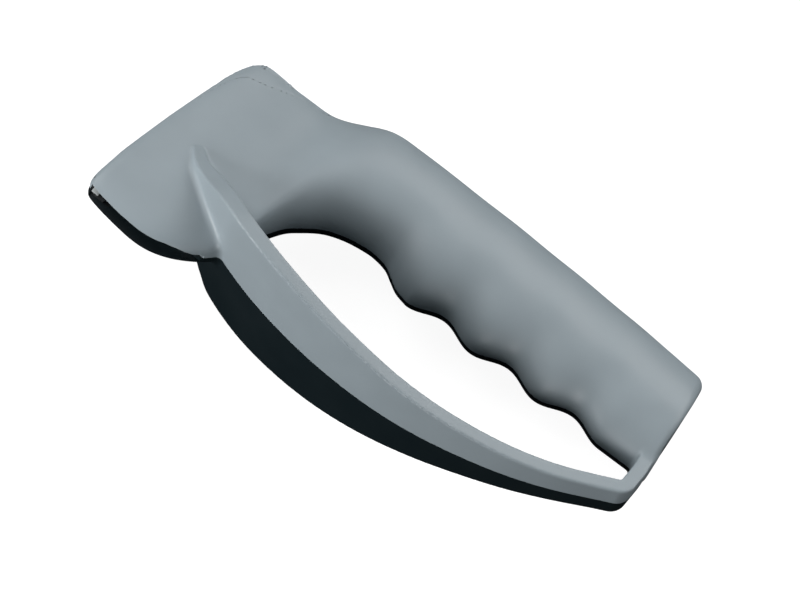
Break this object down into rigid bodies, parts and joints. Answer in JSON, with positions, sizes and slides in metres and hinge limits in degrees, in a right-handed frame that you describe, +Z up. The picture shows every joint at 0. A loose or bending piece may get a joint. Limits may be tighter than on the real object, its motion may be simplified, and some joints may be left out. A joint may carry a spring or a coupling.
{
  "type": "pull through knife sharpener",
  "caption": "Hand-held pull through knife sharpener with a finger guard, moulded handle halves and a crossed pair of hard metal bars behind a slot in its head.",
  "frame": {"origin": "centre of the bounding box at its base, on the surface the sharpener lies on", "axes": "+X from the head to the tail, +Y from the guard to the palm side, +Z up, out of the grey front shell"},
  "size_m": [0.1536, 0.0688, 0.041],
  "materials": {
    "grey_plastic": "satin, fine moulded grain",
    "black_plastic": "satin, fine moulded grain",
    "holder_plastic": "plain moulded",
    "hard_metal": "ground, sintered hard metal",
    "plate_steel": "stamped sheet, bright",
    "screw_steel": "zinc plated"
  },
  "bodies": {
    "root": {"front_shell": "grey_plastic", "rear_shell": "black_plastic", "front_carbide": "hard_metal", "rear_carbide": "hard_metal", "blade_holder": "holder_plastic", "clamp_plate": "plate_steel", "clamp_screw": "screw_steel", "head_screws": "screw_steel", "handle_screws": "screw_steel"}
  },
  "joints": []
}
